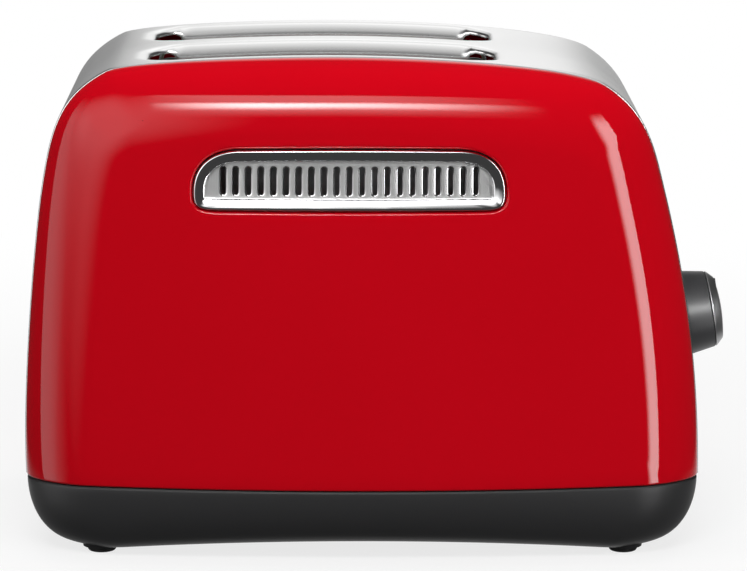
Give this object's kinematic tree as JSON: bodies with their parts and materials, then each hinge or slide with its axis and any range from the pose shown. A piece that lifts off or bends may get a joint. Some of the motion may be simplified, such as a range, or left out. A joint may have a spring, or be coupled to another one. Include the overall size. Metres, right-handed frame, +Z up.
{
  "type": "electric toaster",
  "caption": "Long-bodied two-slot toaster with rounded side shells, a wraparound top band, a louvred vent, a turning browning dial and a sprung lift lever.",
  "frame": {"origin": "on the table, under the middle of the overall length and width", "axes": "+X along the bread slots towards the dial and lever, +Y from the front face to the back, +Z up"},
  "size_m": [0.2956, 0.185, 0.2092],
  "materials": {
    "shell": "high gloss red enamel",
    "black_body": "fine satin grain",
    "black_gloss": "smooth, semi-gloss",
    "foot": "matt",
    "brushed": "fine straight grain",
    "chrome": "polished",
    "sheet": "plain zinc-plated sheet",
    "mica": "matt mineral sheet",
    "copper": "enamelled wire",
    "board": "satin lacquer",
    "lens": "clear amber, polished",
    "pale": "satin"
  },
  "bodies": {
    "housing": {"side_shell_front": "shell", "side_shell_back": "shell", "base_tub": "black_body", "lever_slot_bezel": "black_body", "cord_gland": "black_body", "main_switch": "black_body", "foot_1": "foot", "foot_2": "foot", "foot_3": "foot", "foot_4": "foot", "top_band": "brushed", "vent_grille_front": "brushed", "vent_grille_back": "brushed", "vent_rim_front": "chrome", "vent_rim_back": "chrome", "base_screw_1": "sheet", "base_screw_2": "sheet", "base_screw_3": "sheet", "base_screw_4": "sheet", "chassis_plate_control": "sheet", "chassis_plate_far": "sheet", "heat_shield_front": "sheet", "heat_shield_back": "sheet", "guide_rod": "sheet", "lift_spring": "sheet", "dial_potentiometer": "sheet", "board_bracket": "sheet", "magnet_core": "sheet", "heater_front": "mica", "heater_middle": "mica", "heater_back": "mica", "magnet_coil": "copper", "circuit_board": "board", "indicator_lens": "lens", "relay": "pale", "terminal_block": "pale"},
    "lift_carriage": {"lever_handle": "black_gloss", "lever_arm": "sheet", "carriage_bracket": "sheet", "bread_rack_front": "sheet", "bread_rack_back": "sheet", "armature_plate": "sheet"},
    "browning_dial": {"dial_knob": "black_gloss", "dial_cap": "brushed", "dial_shaft": "sheet"},
    "cancel": {"button_cancel": "black_gloss"},
    "defrost": {"button_defrost": "black_gloss"},
    "reheat": {"button_reheat": "black_gloss"},
    "tray": {"crumb_tray": "sheet", "crumb_tray_front": "black_body"},
    "guide_front_outer": {"bread_guide_front_outer": "chrome"},
    "guide_front_inner": {"bread_guide_front_inner": "chrome"},
    "guide_back_inner": {"bread_guide_back_inner": "chrome"},
    "guide_back_outer": {"bread_guide_back_outer": "chrome"}
  },
  "joints": [
    {"name": "lever_press", "type": "slide", "parent": "housing", "child": "lift_carriage", "axis": [0, 0, -1], "range_m": [0, 0.042], "stiffness_N_per_m": 100, "springref_m": -0.02, "deforming": ["lift_spring"]},
    {"name": "dial_turn", "type": "hinge", "parent": "housing", "child": "browning_dial", "pos_m": [0.13075, -0.022, 0.0935], "axis": [0.987, 0, 0.1607], "range_deg": [-135, 135]},
    {"name": "cancel_press", "type": "slide", "parent": "housing", "child": "cancel", "axis": [-0.9992, 0, -0.0405], "range_m": [0, 0.0015], "stiffness_N_per_m": 300, "springref_m": -0.001},
    {"name": "defrost_press", "type": "slide", "parent": "housing", "child": "defrost", "axis": [-0.9992, 0, -0.0405], "range_m": [0, 0.0015], "stiffness_N_per_m": 300, "springref_m": -0.001},
    {"name": "reheat_press", "type": "slide", "parent": "housing", "child": "reheat", "axis": [-0.9992, 0, -0.0405], "range_m": [0, 0.0015], "stiffness_N_per_m": 300, "springref_m": -0.001},
    {"name": "tray_slide", "type": "slide", "parent": "housing", "child": "tray", "axis": [-1, 0, 0], "range_m": [0, 0.19]},
    {"name": "swing_front_outer", "type": "hinge", "parent": "housing", "child": "guide_front_outer", "pos_m": [-0.00624, -0.049, 0.038], "axis": [1, 0, 0], "range_deg": [-4, 0]},
    {"name": "swing_front_inner", "type": "hinge", "parent": "housing", "child": "guide_front_inner", "pos_m": [-0.00624, -0.013, 0.038], "axis": [1, 0, 0], "range_deg": [0, 4]},
    {"name": "swing_back_inner", "type": "hinge", "parent": "housing", "child": "guide_back_inner", "pos_m": [-0.00624, 0.013, 0.038], "axis": [1, 0, 0], "range_deg": [-4, 0]},
    {"name": "swing_back_outer", "type": "hinge", "parent": "housing", "child": "guide_back_outer", "pos_m": [-0.00624, 0.049, 0.038], "axis": [1, 0, 0], "range_deg": [0, 4]}
  ],
  "couplings": [
    {"joint": "swing_front_outer", "follows": "lever_press", "rad_per_m": -1.6621},
    {"joint": "swing_front_inner", "follows": "lever_press", "rad_per_m": 1.6621},
    {"joint": "swing_back_inner", "follows": "lever_press", "rad_per_m": -1.6621},
    {"joint": "swing_back_outer", "follows": "lever_press", "rad_per_m": 1.6621}
  ]
}
